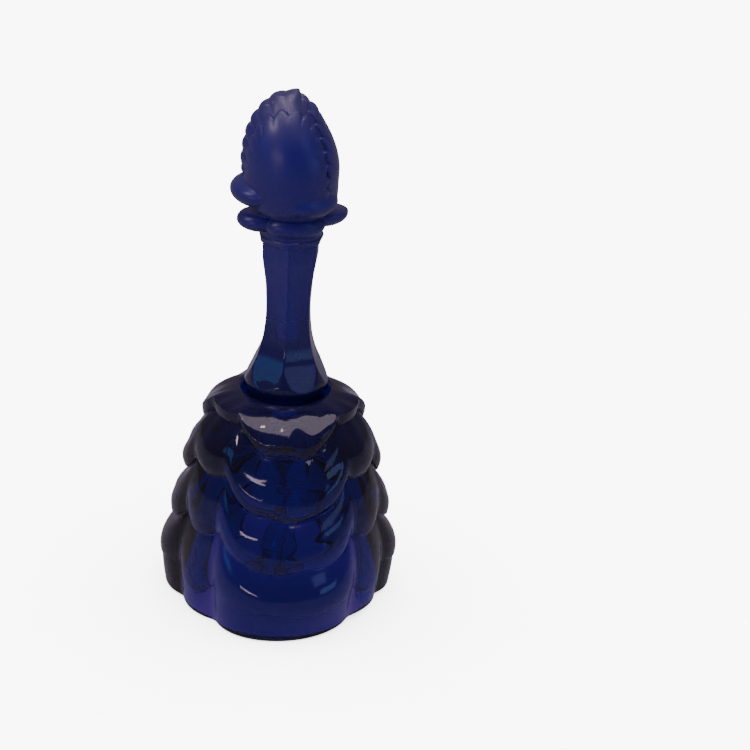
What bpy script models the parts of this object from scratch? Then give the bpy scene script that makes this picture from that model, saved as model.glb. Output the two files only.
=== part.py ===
"""Pressed cobalt glass hand bell with a chain-hung clapper.

One solid glass casting: flounced skirt, hexagonal handle and bud finial.  A plaster
plug in the crown holds a wire eye, and a six-link chain carries an eye pin with a
glass bead that strikes the wall.

Lengths are in metres and +Z is up.  The rim stands on the plane z = 0, and the origin is
the centre of the footprint's box.
"""

from math import cos, pi, radians, sin

import bmesh
import bpy
from mathutils import Matrix, Vector

MM = 0.001

# Driving dimensions of the glass.
HANDLE_TURN = radians(-8)        # the arris nearest the front stands a little to its left
SECTOR = radians(120)            # one wide and one narrow column of flounces
LIP = 0.9 * MM                   # how far a flounce edge overhangs the next tier
AROUND = 72                      # points around a skirt section

# The tiers of flounces, top to bottom.  wide and narrow: height of the lower edge and the
# fullest radius, on the wide and the narrow columns.  half: half the angle of a wide
# column.  crease: how far each kind of column draws in at the crease between them.
# rise: how far the lower edge climbs at the creases.
TIERS = (
    dict(wide=(62.0 * MM, 28.2 * MM), narrow=(70.5 * MM, 25.2 * MM), half=radians(40),
         crease=(3.0 * MM, 0.8 * MM), rise=0.8 * MM),
    dict(wide=(41.5 * MM, 34.5 * MM), narrow=(51.0 * MM, 31.4 * MM), half=radians(42),
         crease=(3.8 * MM, 0.8 * MM), rise=2.0 * MM),
    dict(wide=(24.5 * MM, 38.3 * MM), narrow=(30.0 * MM, 34.2 * MM), half=radians(43),
         crease=(5.2 * MM, 1.2 * MM), rise=4.0 * MM),
    dict(wide=(0.0, 42.0 * MM), narrow=(0.0, 36.2 * MM), half=radians(43),
         crease=(6.8 * MM, 1.2 * MM), rise=0.0),
)
ROWS_PER_TIER = 6
CREST = 0.8                      # where between its edges a tier is fullest
EDGE_TUCK = 0.6 * MM             # a tier draws in this much from its fullest to its edge
RIM_TUCK = 1.8 * MM              # and the last one this much, down to the rim
EDGE_STEP = 0.3 * MM             # a tier starts this far above the edge that covers it

# The shoulder: the top tier puffs up over the collar, slopes down and turns into a fall.
COLLAR_FOOT = (13.7 * MM, 70.2 * MM)
SHOULDER_ROWS = 11
SHOULDER_CROWN = 76.0 * MM
SHOULDER_SLOPE = 1.3             # 1 is an elliptical shoulder, 2 a straight slope
SHOULDER_TURN = 0.8              # where along the tier the slope turns into the fall
SHOULDER_FALL = 2.6 * MM
SHOULDER_GROOVE = 0.16           # how much of the tier rises out of the collar's groove

# The footprint's box is centred on the origin, so the bell's own axis stands behind it.
AXIS_BACK = (TIERS[-1]["wide"][1] - TIERS[-1]["narrow"][1]) / 2

# The bell's inside, from the rim up to the crown: (radius, height).
CAVITY = (
    (31.1 * MM, -1.0 * MM),
    (30.5 * MM, 8.0 * MM),
    (29.0 * MM, 22.0 * MM),
    (26.0 * MM, 38.0 * MM),
    (21.0 * MM, 51.0 * MM),
    (14.0 * MM, 60.0 * MM),
    (7.0 * MM, 63.5 * MM),
    (4.3 * MM, 64.0 * MM),
)
SOCKET_RADIUS = 4.2 * MM
SOCKET_TOP = 73.0 * MM
SOCKET_OVERLAP = 4.0 * MM        # how far the socket's cutter reaches down into the cavity

# The handle: corner radius of the hexagon at each height, top to bottom.
HANDLE = (
    (10.6 * MM, 131.5 * MM),
    (10.6 * MM, 127.0 * MM),
    (10.4 * MM, 122.7 * MM),
    (9.8 * MM, 118.5 * MM),
    (9.2 * MM, 113.5 * MM),
    (8.7 * MM, 106.0 * MM),
    (8.7 * MM, 101.0 * MM),
    (9.1 * MM, 96.0 * MM),
    (10.0 * MM, 91.5 * MM),
    (11.4 * MM, 87.0 * MM),
    (13.0 * MM, 82.0 * MM),
    (14.0 * MM, 78.5 * MM),
    (12.0 * MM, 68.5 * MM),      # buried in the shoulder
)
# The smooth collar between the hexagon and the shoulder: (radius, height).
COLLAR = (
    (11.0 * MM, 80.0 * MM),
    (13.2 * MM, 78.0 * MM),
    (13.3 * MM, 75.5 * MM),
    (13.3 * MM, 71.0 * MM),
    (12.5 * MM, 69.0 * MM),
)
# The smooth ring at the top of the hexagon, which overhangs its facets.
NECK = (
    (9.6 * MM, 133.0 * MM),
    (10.9 * MM, 131.6 * MM),
    (10.8 * MM, 129.0 * MM),
    (9.4 * MM, 128.3 * MM),
)

# The finial: a turned bud, three sepals below it and a flange with two large lobes.
BUD = (
    (1.6 * MM, 179.8 * MM),
    (3.8 * MM, 178.8 * MM),
    (6.6 * MM, 176.4 * MM),
    (9.6 * MM, 171.9 * MM),
    (12.6 * MM, 166.3 * MM),
    (15.0 * MM, 160.0 * MM),
    (16.2 * MM, 153.5 * MM),
    (16.0 * MM, 146.0 * MM),
    (14.0 * MM, 140.0 * MM),
    (11.2 * MM, 136.5 * MM),
    (9.0 * MM, 130.0 * MM),
)
SEPALS = 3
SEPAL_TURN = radians(-86)
SEPAL_CENTRE = (10.2 * MM, 145.8 * MM)
SEPAL_SIZE = (9.6 * MM, 11.5 * MM, 5.4 * MM)      # half length outwards, sideways, upwards
# Each lobe: its turn round the axis, its centre (radius, height) and its three half lengths.
FLANGE = (
    (radians(-80), (9.8 * MM, 136.2 * MM), (8.6 * MM, 6.8 * MM, 4.3 * MM)),
    (radians(97), (9.8 * MM, 137.6 * MM), (8.6 * MM, 7.2 * MM, 4.6 * MM)),
    (radians(8), (7.4 * MM, 135.6 * MM), (5.4 * MM, 9.0 * MM, 3.4 * MM)),
    (radians(188), (7.4 * MM, 135.6 * MM), (5.4 * MM, 9.0 * MM, 3.4 * MM)),
)

# The clapper chain.
WIRE = 0.5 * MM                  # radius of the chain's wire
BEND = 1.6 * MM                  # radius of a link's end, at the wire's middle
LINK_STRAIGHT = 3.0 * MM
WIRE_GAP = 0.2 * MM
LINKS = 6
FIRST_PIVOT = 54.3 * MM          # height of the eye's lowest wire
PLUG_RADIUS = 3.9 * MM
PLUG_HEIGHTS = (63.2 * MM, 72.6 * MM)
PLUG_CHAMFERS = (0.8 * MM, 0.3 * MM)              # below and above
SHANK_HOLE = 0.9 * MM
EYE_SHANK_TOP = 70.5 * MM
BEAD_RADIUS = 7.0 * MM
BEAD_BORE = 0.95 * MM
BEAD_CENTRE = 13.5 * MM
STOP_RADIUS = 1.9 * MM
STOP_THICKNESS = 1.1 * MM
RING_GAP = radians(34)           # the opening in the eye's and the pin's wire rings
FIT_GAP = 0.3 * MM
CUT_THROUGH = 1.0 * MM           # how far a drill passes the face it leaves by
WIRE_RISE = 2 * WIRE + WIRE_GAP  # from a pivot to the wire that hangs on it
LINK_LENGTH = LINK_STRAIGHT + 2 * BEND
PITCH = LINK_LENGTH - WIRE_RISE


# ---------------------------------------------------------------- scene and materials

def clear_scene():
    for old in list(bpy.data.objects):
        bpy.data.objects.remove(old, do_unlink=True)


def new_collection(name):
    collection = bpy.data.collections.new(name)
    bpy.context.scene.collection.children.link(collection)
    return collection


def new_material(name, colour, roughness, metallic, transmission=0.0):
    material = bpy.data.materials.new(name)
    material.use_nodes = True
    shader = material.node_tree.nodes["Principled BSDF"]
    shader.inputs["Base Color"].default_value = (*colour, 1.0)
    shader.inputs["Roughness"].default_value = roughness
    shader.inputs["Metallic"].default_value = metallic
    shader.inputs["Transmission Weight"].default_value = transmission
    material.diffuse_color = (*colour, 1.0)
    return material


def new_object(name, data, collection, material=None):
    """Every solid stands on the bell's axis: it is parented to that empty."""
    obj = bpy.data.objects.new(name, data)
    collection.objects.link(obj)
    obj.parent = AXIS
    if material:
        data.materials.append(material)
    return obj


def hide_cutter(obj):
    obj.hide_render = True
    obj.display_type = "WIRE"


def boolean(target, cutter, operation):
    step = target.modifiers.new(operation.lower() + "_" + cutter.name, "BOOLEAN")
    step.operation = operation
    step.solver = "EXACT"
    step.object = cutter
    hide_cutter(cutter)


def smooth(mesh, angle=radians(35)):
    mesh.shade_smooth()
    mesh.set_sharp_from_angle(angle=angle)


# ---------------------------------------------------------------- general shapes

def turned(name, profile, steps, collection, turn=0.0):
    """A solid of revolution; the profile runs down the outer side, top to bottom."""
    top = profile[0][1]
    bottom = profile[-1][1]
    points = [(0.0, top)] + list(profile) + [(0.0, bottom)]
    mesh = bpy.data.meshes.new(name)
    edges = [(i, i + 1) for i in range(len(points) - 1)]
    mesh.from_pydata([(r, 0.0, z) for r, z in points], edges, [])
    obj = new_object(name, mesh, collection)
    obj.rotation_euler.z = turn
    screw = obj.modifiers.new("turn", "SCREW")
    screw.axis = "Z"
    screw.angle = 2 * pi
    screw.steps = steps
    screw.render_steps = steps
    screw.use_merge_vertices = True
    screw.merge_threshold = 0.00001
    return obj


def ellipsoid(name, centre, size, turn, collection, segments=20, rings=12):
    """An ellipsoid whose first half axis points away from the bell's axis."""
    mesh = bpy.data.meshes.new(name)
    shape = bmesh.new()
    bmesh.ops.create_uvsphere(shape, u_segments=segments, v_segments=rings, radius=1.0)
    bmesh.ops.transform(shape, matrix=Matrix.Diagonal((*size, 1.0)), verts=shape.verts)
    shape.to_mesh(mesh)
    shape.free()
    obj = new_object(name, mesh, collection)
    radius, height = centre
    direction = Vector((sin(turn), -cos(turn), 0.0))
    obj.location = direction * radius + Vector((0.0, 0.0, height))
    obj.rotation_euler.z = turn - pi / 2
    return obj


def wire(name, points, radius, collection, material, cyclic=False):
    """A round wire along a list of points, with filled ends."""
    curve = bpy.data.curves.new(name, "CURVE")
    curve.dimensions = "3D"
    curve.bevel_depth = radius
    curve.bevel_resolution = 2
    curve.resolution_u = 1
    curve.render_resolution_u = 0
    curve.use_fill_caps = not cyclic
    spline = curve.splines.new("POLY")
    spline.points.add(len(points) - 1)
    for target, point in zip(spline.points, points):
        target.co = (*point, 1.0)
    spline.use_cyclic_u = cyclic
    return new_object(name, curve, collection, material)


def arc(centre, radius, start, end, steps):
    """Points on an arc in the XZ plane, angles measured from +X towards +Z."""
    cx, cz = centre
    angles = [start + (end - start) * i / steps for i in range(steps + 1)]
    return [(cx + radius * cos(a), 0.0, cz + radius * sin(a)) for a in angles]


# ---------------------------------------------------------------- the skirt

def column_place(angle, half):
    """Where an angle falls in its column: -1 to 1 across it, and whether it is wide."""
    offset = (angle + half) % SECTOR - half
    if offset <= half:
        return offset / half, True
    narrow_half = SECTOR / 2 - half
    return (offset - half - narrow_half) / narrow_half, False


def edge_height(tier, angle):
    """Height of a tier's lower edge: a rounded tip in each column, rising to the creases."""
    place, wide = column_place(angle, tier["half"])
    meeting = max(tier["wide"][0], tier["narrow"][0]) + tier["rise"]
    tip = tier["wide"][0] if wide else tier["narrow"][0]
    return tip + (meeting - tip) * abs(place) ** 3


def full_radius(tier, angle):
    """A tier's fullest radius at an angle, lobed column by column."""
    place, wide = column_place(angle, tier["half"])
    if wide:
        return tier["wide"][1] - tier["crease"][0] * abs(place) ** 3
    return tier["narrow"][1] - tier["crease"][1] * place ** 2


def ring(radii, heights, angles):
    return [(r * sin(a), -r * cos(a), z) for r, z, a in zip(radii, heights, angles)]


def shoulder_sections(tier, angles):
    """The top tier, from the groove round the collar to its lower edge."""
    sections = []
    reach = [full_radius(tier, a) - COLLAR_FOOT[0] for a in angles]
    brows = [edge_height(tier, a) + EDGE_STEP + SHOULDER_FALL for a in angles]
    for row in range(SHOULDER_ROWS):
        t = row / (SHOULDER_ROWS - 1)
        bend = pi / 2 * min(1.0, t / SHOULDER_TURN)
        out = sin(bend) ** SHOULDER_SLOPE
        down = 1 - max(0.0, cos(bend)) ** SHOULDER_SLOPE
        fall = SHOULDER_FALL * max(0.0, t - SHOULDER_TURN) / (1 - SHOULDER_TURN)
        groove = (SHOULDER_CROWN - COLLAR_FOOT[1]) * max(0.0, 1 - t / SHOULDER_GROOVE) ** 2
        radii = [COLLAR_FOOT[0] + r * out for r in reach]
        heights = [SHOULDER_CROWN + (brow - SHOULDER_CROWN) * down - fall - groove for brow in brows]
        sections.append(ring(radii, heights, angles))
    return sections


def tier_sections(above, tier, angles):
    """A lower tier: it swells out from under the edge above and draws in again at its own."""
    last = tier is TIERS[-1]
    depth = RIM_TUCK if last else EDGE_TUCK
    tops = [edge_height(above, a) + EDGE_STEP for a in angles]
    feet = [edge_height(tier, a) + (0.0 if last else EDGE_STEP) for a in angles]
    starts = [full_radius(above, a) - EDGE_TUCK - LIP for a in angles]
    fulls = [full_radius(tier, a) for a in angles]
    sections = []
    for row in range(ROWS_PER_TIER + 1):
        t = row / ROWS_PER_TIER
        swell = sin(pi / 2 * min(1.0, t / CREST)) ** 0.8
        tuck = max(0.0, (t - CREST) / (1 - CREST)) ** 2 * depth
        radii = [start + (full - start) * swell - tuck for start, full in zip(starts, fulls)]
        heights = [top + (foot - top) * t for top, foot in zip(tops, feet)]
        sections.append(ring(radii, heights, angles))
    return sections


def skirt_sections():
    """The skirt's outline, one list of points for each section, top to bottom."""
    angles = [2 * pi * i / AROUND for i in range(AROUND)]
    sections = shoulder_sections(TIERS[0], angles)
    for above, tier in zip(TIERS, TIERS[1:]):
        sections += tier_sections(above, tier, angles)
    return sections


def loft(name, sections, collection):
    """A closed solid through sections that have the same number of points."""
    mesh = bpy.data.meshes.new(name)
    shape = bmesh.new()
    rings = [[shape.verts.new(p) for p in section] for section in sections]
    count = len(rings[0])
    for upper, lower in zip(rings, rings[1:]):
        for i in range(count):
            j = (i + 1) % count
            shape.faces.new((upper[i], lower[i], lower[j], upper[j]))
    shape.faces.new(rings[0])
    shape.faces.new(list(reversed(rings[-1])))
    bmesh.ops.recalc_face_normals(shape, faces=shape.faces)
    shape.to_mesh(mesh)
    shape.free()
    return new_object(name, mesh, collection)


# ---------------------------------------------------------------- the glass casting

def make_glass(parts, cutters, material):
    glass = loft("glass_bell", skirt_sections(), parts)
    glass.data.materials.append(material)

    handle = turned("handle_blank", HANDLE, 6, cutters, HANDLE_TURN - pi / 2)
    collar = turned("collar_blank", COLLAR, 36, cutters)
    neck = turned("neck_blank", NECK, 36, cutters)
    bud = turned("bud_blank", BUD, 32, cutters)
    additions = [collar, handle, neck, bud]
    for i in range(SEPALS):
        turn = SEPAL_TURN + 2 * pi * i / SEPALS
        additions.append(ellipsoid("sepal_%d" % i, SEPAL_CENTRE, SEPAL_SIZE, turn, cutters))
    for i, (turn, centre, size) in enumerate(FLANGE):
        additions.append(ellipsoid("flange_%d" % i, centre, size, turn, cutters))
    for addition in additions:
        boolean(glass, addition, "UNION")

    cavity = turned("cavity", tuple(reversed(CAVITY)), 48, cutters)
    socket_foot = CAVITY[-1][1] - SOCKET_OVERLAP
    socket = turned("socket", ((SOCKET_RADIUS, SOCKET_TOP), (SOCKET_RADIUS, socket_foot)), 32, cutters)
    boolean(glass, cavity, "DIFFERENCE")
    boolean(glass, socket, "DIFFERENCE")
    smooth(glass.data)
    return glass


# ---------------------------------------------------------------- the hanger

def make_plug(parts, cutters, material):
    low, high = PLUG_HEIGHTS
    below, above = PLUG_CHAMFERS
    profile = (
        (PLUG_RADIUS - above, high),
        (PLUG_RADIUS, high - above),
        (PLUG_RADIUS, low + below),
        (PLUG_RADIUS - below, low),
    )
    plug = turned("crown_plug", profile, 32, parts)
    plug.data.materials.append(material)
    hole_top = EYE_SHANK_TOP + FIT_GAP
    hole = turned("shank_hole", ((SHANK_HOLE, hole_top), (SHANK_HOLE, low - CUT_THROUGH)), 20, cutters)
    boolean(plug, hole, "DIFFERENCE")
    return plug


def make_eye(parts, material):
    """A straight shank with an open ring at its foot, like a small screw eye without thread."""
    centre = (0.0, FIRST_PIVOT + BEND)
    ring = arc(centre, BEND, pi / 2, pi / 2 - 2 * pi + RING_GAP, 20)
    points = [(0.0, 0.0, EYE_SHANK_TOP)] + ring
    return wire("hanger_eye", points, WIRE, parts, material)


def link_points():
    """One link as a loop in the XZ plane, its lowest wire at the origin."""
    upper = arc((0.0, BEND + LINK_STRAIGHT), BEND, 0.0, pi, 8)
    lower = arc((0.0, BEND), BEND, pi, 2 * pi, 8)
    return upper + lower


def make_links(parts, material):
    links = []
    for number in range(1, LINKS + 1):
        pivot = FIRST_PIVOT - (number - 1) * PITCH
        link = wire("chain_link_%d" % number, link_points(), WIRE, parts, material, cyclic=True)
        # The link's own origin is on the wire it hangs from.
        for point in link.data.splines[0].points:
            point.co.z -= PITCH
        link.location.z = pivot
        # The eye lies in the XZ plane, so the first link is turned across it.
        link.rotation_euler.z = pi / 2 if number % 2 else 0.0
        links.append(link)
    return links


# ---------------------------------------------------------------- the clapper

def clapper_pivot():
    return FIRST_PIVOT - LINKS * PITCH


def make_pin(parts, cutters, material):
    """An eye pin: a ring that hangs on the last link, a shank and a flat stop under the bead."""
    pivot = clapper_pivot()
    ring_centre = (0.0, WIRE_RISE - BEND)
    ring = arc(ring_centre, BEND, -pi / 2 + 2 * pi - RING_GAP, -pi / 2, 20)
    stop_top = BEAD_CENTRE - BEAD_RADIUS - FIT_GAP
    points = ring + [(0.0, 0.0, stop_top - STOP_THICKNESS / 2 - pivot)]
    guide = wire("pin_guide", points, WIRE, cutters, None)
    guide.location.z = pivot
    guide.rotation_euler.z = pi / 2
    bpy.context.view_layer.update()
    graph = bpy.context.evaluated_depsgraph_get()
    mesh = bpy.data.meshes.new_from_object(guide.evaluated_get(graph))
    shape = bmesh.new()
    shape.from_mesh(mesh)
    bmesh.ops.remove_doubles(shape, verts=shape.verts, dist=0.000001)
    shape.to_mesh(mesh)
    shape.free()
    mesh.name = "clapper_pin"
    pin = new_object("clapper_pin", mesh, parts, material)
    pin.location = guide.location
    pin.rotation_euler = guide.rotation_euler
    bpy.data.objects.remove(guide, do_unlink=True)

    edge = STOP_THICKNESS / 3
    stop_profile = (
        (STOP_RADIUS - edge, stop_top),
        (STOP_RADIUS, stop_top - edge),
        (STOP_RADIUS, stop_top - 2 * edge),
        (STOP_RADIUS - edge, stop_top - STOP_THICKNESS),
    )
    stop = turned("pin_stop", stop_profile, 24, cutters)
    boolean(pin, stop, "UNION")
    smooth(pin.data)
    return pin


def make_bead(parts, cutters, material):
    mesh = bpy.data.meshes.new("clapper_bead")
    shape = bmesh.new()
    bmesh.ops.create_uvsphere(shape, u_segments=28, v_segments=18, radius=BEAD_RADIUS)
    shape.to_mesh(mesh)
    shape.free()
    bead = new_object("clapper_bead", mesh, parts, material)
    bead.location.z = BEAD_CENTRE
    reach = BEAD_RADIUS + CUT_THROUGH
    bore = turned("bead_bore", ((BEAD_BORE, reach), (BEAD_BORE, -reach)), 16, cutters)
    bore.location.z = BEAD_CENTRE
    boolean(bead, bore, "DIFFERENCE")
    smooth(bead.data)
    return bead


# ---------------------------------------------------------------- build

clear_scene()
PARTS = new_collection("glass_hand_bell")
CUTTERS = new_collection("cutters")
AXIS = bpy.data.objects.new("bell_axis", None)
PARTS.objects.link(AXIS)
AXIS.location.y = AXIS_BACK
COBALT = new_material("cobalt_glass", (0.02, 0.02, 0.32), 0.05, 0.0, 0.8)
PLASTER = new_material("crown_plaster", (0.80, 0.77, 0.70), 0.85, 0.0)
PLATED_WIRE = new_material("plated_wire", (0.72, 0.70, 0.66), 0.25, 1.0)

make_glass(PARTS, CUTTERS, COBALT)
make_plug(PARTS, CUTTERS, PLASTER)
make_eye(PARTS, PLATED_WIRE)
make_links(PARTS, PLATED_WIRE)
make_pin(PARTS, CUTTERS, PLATED_WIRE)
make_bead(PARTS, CUTTERS, COBALT)
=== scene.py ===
"""The looks of the cobalt glass hand bell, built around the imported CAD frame.

The glass is one smooth surface of rows round the bell's axis, from the tip of the bud
down the outside, across the rim and up the inside.  Lengths in the modelling code are
in millimetres and become metres when a mesh is made.  Angles are measured round the
axis from the front (-Y) towards the right (+X).
"""

from math import cos, pi, radians, sin

import bpy
import numpy as np
from mathutils import Matrix, Vector


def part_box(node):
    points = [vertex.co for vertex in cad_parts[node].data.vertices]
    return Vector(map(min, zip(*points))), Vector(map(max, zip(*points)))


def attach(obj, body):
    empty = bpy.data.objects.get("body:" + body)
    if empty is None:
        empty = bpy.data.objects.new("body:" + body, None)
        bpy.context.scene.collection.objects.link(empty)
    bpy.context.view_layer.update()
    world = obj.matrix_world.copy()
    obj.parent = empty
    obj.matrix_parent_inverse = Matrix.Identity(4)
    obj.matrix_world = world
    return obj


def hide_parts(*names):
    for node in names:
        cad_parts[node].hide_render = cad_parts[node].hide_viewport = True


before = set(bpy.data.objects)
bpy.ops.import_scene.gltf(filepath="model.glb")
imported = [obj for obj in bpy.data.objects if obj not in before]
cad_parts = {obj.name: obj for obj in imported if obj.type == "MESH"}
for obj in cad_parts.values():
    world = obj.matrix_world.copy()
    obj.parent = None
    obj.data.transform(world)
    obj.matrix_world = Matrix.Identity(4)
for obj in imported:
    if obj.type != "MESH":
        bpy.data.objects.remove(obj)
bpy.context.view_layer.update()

MM = 0.001

# ------------------------------------------------------------------ driving sizes (mm)

AROUND = 432                     # points in each row
TURN = np.arange(AROUND) * 2 * pi / AROUND

BUD_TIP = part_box("glass_bell")[1].z / MM

SECTOR = radians(120)            # one wide and one narrow column of flounces
CREASE_BLUR = radians(2.0)       # how softly the creases and the tiers' edges turn
EDGE_BLUR = radians(3.0)
TIER_ROWS = 46

# The tiers of flounces, top to bottom.  wide and narrow: (height of the lower edge,
# fullest radius) on the wide and the narrow columns.  half: half the angle of a wide
# column.  crease: depth between columns.  crest: where between its edges a tier is
# fullest.  draw: how far it then draws in.  lip: how far its edge overhangs.
# rise: how far its edge climbs at the creases.  valley: how far the wide flounces draw in
# above their flared edge, where, and over how much of the tier; the top and bottom tiers
# have none.  ruffle: how far the edge waves up and down, how often, and where it starts.
TIERS = (
    dict(wide=(62.0, 28.2), narrow=(69.5, 25.4), half=radians(40), crease=(3.0, 0.8),
         crest=0.80, draw=0.4, lip=1.0, rise=0.8, ruffle=(1.0, 2.5, 0.6)),
    dict(wide=(41.5, 34.5), narrow=(51.0, 31.4), half=radians(42), crease=(3.8, 0.8),
         crest=0.80, draw=0.9, lip=1.1, rise=2.0, valley=(1.0, 0.48, 0.16),
         ruffle=(0.9, 2.5, 2.4)),
    dict(wide=(24.5, 38.3), narrow=(30.0, 34.2), half=radians(43), crease=(5.2, 1.2),
         crest=0.74, draw=0.5, lip=1.0, rise=4.0, valley=(0.5, 0.50, 0.18),
         ruffle=(0.9, 2.0, 4.4)),
    dict(wide=(10.5, 41.8), narrow=(8.0, 36.0), half=radians(43), crease=(6.8, 1.2),
         crest=0.80, draw=0.3, lip=0.5, rise=5.0, ruffle=(0.4, 2.0, 1.0)),
)
NARROW_RUFFLE = 0.4              # a narrow column's edge waves this share as much
SWELL_POWER = 0.85               # under 1 a tier swells out quickly below the edge above
LIP_ROUND = 0.55
UNDER_LIP = 0.25                 # a tier starts this far below the edge that covers it
COLLAR_FOOT = (13.7, 70.2)
SHOULDER_CROWN = 75.8
SHOULDER_SLOPE = 1.3             # 1 is an elliptical shoulder, 2 a straight slope
SHOULDER_TURN = 0.8              # where along the tier the slope turns into the upright fall
SHOULDER_FALL = 3.2
SHOULDER_GROOVE = 0.14           # how much of the tier rises out of the collar's groove
RIM_RADII = (39.8, 34.6)         # of the rim's outer edge, on wide and narrow columns
RIM_ROUND = 1.1
# The rim was finished by hand: to the front right it is thinner and a little short.
THIN_RIM = dict(turn=radians(28), half=radians(26), share=0.30)
SHORT_RIM = dict(turn=radians(58), half=radians(30), lift=1.7)
UNEVEN_BELOW = 16.0

# The footprint's box is centred on the origin, so the bell's own axis stands behind it.
AXIS_BACK = (TIERS[-1]["wide"][1] - TIERS[-1]["narrow"][1]) / 2

# The inside, from the mouth up to the crown (radius, height), and the socket in the crown.
CAVITY = ((31.0, 0.0), (30.8, 4.0), (30.4, 10.0), (29.0, 22.0), (26.0, 38.0), (21.0, 51.0),
          (14.0, 60.0), (7.0, 63.5), (4.3, 64.0))
MOUTH_FLARE = (0.8, 1.2)         # how far the mouth opens out, over what height
DOME_FOOT = 58.0                 # from here up the inside is a dome
DOME_HEIGHT = 6.0
SOCKET_RADIUS = 4.2
SOCKET_TOP = 73.0
SOCKET = ((4.25, 64.15), (SOCKET_RADIUS, 64.5), (SOCKET_RADIUS, 68.0), (SOCKET_RADIUS, 72.0),
          (4.1, 72.9), (3.6, SOCKET_TOP))

HANDLE_TURN = radians(-8)
# The handle's turned envelope (radius, height) and the distance of its six facets from
# the axis: the facets are cut into the envelope, so they end in arcs where it is thinner.
ENVELOPE = ((10.9, 132.5), (10.6, 131.0), (10.7, 129.4), (10.8, 128.0), (10.6, 122.0),
            (10.0, 117.0), (9.9, 96.0), (10.4, 92.0), (11.4, 88.0), (12.4, 85.0),
            (13.3, 82.0), (13.9, 79.8), (13.9, 78.2), (13.4, 77.0), (13.1, 76.0),
            (13.0, 74.0), (13.1, 72.0), (13.7, 70.2))
FACETS = ((10.6, 130.4), (9.9, 129.4), (9.75, 128.9), (9.1, 128.5), (9.0, 127.6), (8.8, 122.7),
          (8.2, 118.5), (7.6, 114.2), (7.3, 110.0), (7.1, 105.0), (7.2, 101.0), (7.6, 96.8),
          (8.3, 92.5), (9.5, 88.3), (10.9, 85.0), (12.4, 81.8), (13.8, 79.0))
ARRIS_BLUR = radians(0.9)
ARRIS_ROUND = 0.12
HANDLE_ROWS = 260

BUD_MIDDLE = 153.0
BUD_RADIUS = 14.6
BUD_POINT = 1.25                 # 1 is a round tip, more is pointed
BUD_LEAN = (0.9, 1.5)            # how far the bud stands to the left, and how much more its tip
BUD_FOOT = 138.5
BUD_WAIST = 0.70                 # the bud's foot narrows towards this share of its radius
BUD_ROWS = (170, 130)            # above and below its middle
# The leaves on the bud.  half: half a leaf's width; lift: how far it stands off.
LEAVES = (
    dict(turn=radians(-16), half=15.5, foot=146.0, tip=174.0, lift=1.5),
    dict(turn=radians(100), half=14.5, foot=146.0, tip=177.0, lift=1.1),
    dict(turn=radians(-144), half=15.0, foot=147.0, tip=178.0, lift=1.3),
)
SCALLOP_PITCH = 4.4
SCALLOP_DEPTH = 1.5
LEAF_EDGE = 1.5                  # a leaf rises to its full lift over this width
VEIN_DEPTH = 0.14
VEIN_REACH = 1.5
# The ridge of beads on the bud's left: how wide each is, how far apart, how deep, and how
# far from the tip the row runs down to the left and to the right.
FRILL = dict(turn=radians(-94), width=3.6, pitch=4.6, depth=2.0, left=33.0, right=15.0)
BETWEEN_BEADS = 0.62             # the ridge between the beads, as a share of their height
LEFT_FADE = 3.0                  # the row's ends fade out over these lengths
RIGHT_FADE = 5.0
TIP_FADE = 4.0                   # leaves and lean fade out this close to the tip
LOBE_BLEND = 0.5                 # how softly sepals and flange lobes join their neighbours
SEPALS = (
    dict(turn=radians(-86), centre=10.4, height=145.8, size=(9.6, 11.0, 5.3)),
    dict(turn=radians(34), centre=8.6, height=144.0, size=(8.0, 10.5, 5.0)),
    dict(turn=radians(154), centre=9.6, height=144.5, size=(8.4, 10.5, 5.2)),
)
FLANGE_FOOT = 130.5
FLANGE_ROWS = 110
NECK_RADIUS = 10.1
NECK_FALL = 8.0                  # the bud's foot narrows to the neck over this height
NECK_TOP_SHARE = 0.72            # the neck's top, as a share of the bud's radius
# The flange: two large knobs at the sides, joined by a low roll in front and behind.
FLANGE = (
    dict(turn=radians(-80), centre=9.8, height=136.2, size=(8.6, 6.8, 4.3)),
    dict(turn=radians(97), centre=9.8, height=137.6, size=(8.6, 7.2, 4.6)),
    dict(turn=radians(8), centre=6.8, height=135.4, size=(5.2, 9.6, 4.4)),
    dict(turn=radians(188), centre=6.8, height=135.4, size=(5.2, 9.6, 4.4)),
)

# The hanger and clapper: the same wire sizes and heights as the frame.
WIRE = 0.5
WIRE_SIDES = 20
WIRE_GAP = 0.2
BEND = 1.6
LINK_STRAIGHT = 3.0
LINKS = 6
SEAM_DEPTH = 0.3                 # of the wire's radius
SEAM_WIDTH = 0.09
PITCH = 5.0
FIRST_PIVOT = 54.3
RING_GAP = radians(34)
SHANK_BEND = 0.6                 # a ring's wire turns into its shank over this height
EYE_TOP = 70.5
BEAD_RADIUS = 7.0
BEAD_CENTRE = 13.5
BEAD_BORE = 0.95
BORE_DIMPLE = 0.55               # the bore's mouths are rounded to this radius
STOP_TOP = 6.2
# The flat stop under the bead: (radius, distance below its top).
STOP = ((0.05, 0.0), (1.55, 0.0), (1.8, 0.12), (1.9, 0.4), (1.86, 0.7), (1.6, 0.96),
        (1.2, 1.07), (0.05, 1.1))
PLUG_RADIUS = 3.9
PLUG_TOP = 72.6
PLUG_FOOT = 63.2
PLUG_LUMPS = 0.35
SHANK_HOLE = 0.9


# ------------------------------------------------------------------ small helpers

def blur(values, width):
    """Rounds off a curve round the axis, with a bell curve as wide as an angle."""
    waves = np.arange(AROUND // 2 + 1)
    return np.fft.irfft(np.fft.rfft(values) * np.exp(-0.5 * (waves * width) ** 2), AROUND)


def soft_max(a, b, width):
    """The larger of two curves, rounded where they cross."""
    return 0.5 * (a + b + np.sqrt((a - b) ** 2 + width ** 2))


def soft_min(a, b, width):
    """The smaller of two curves, rounded where they cross."""
    return 0.5 * (a + b - np.sqrt((a - b) ** 2 + width ** 2))


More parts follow.
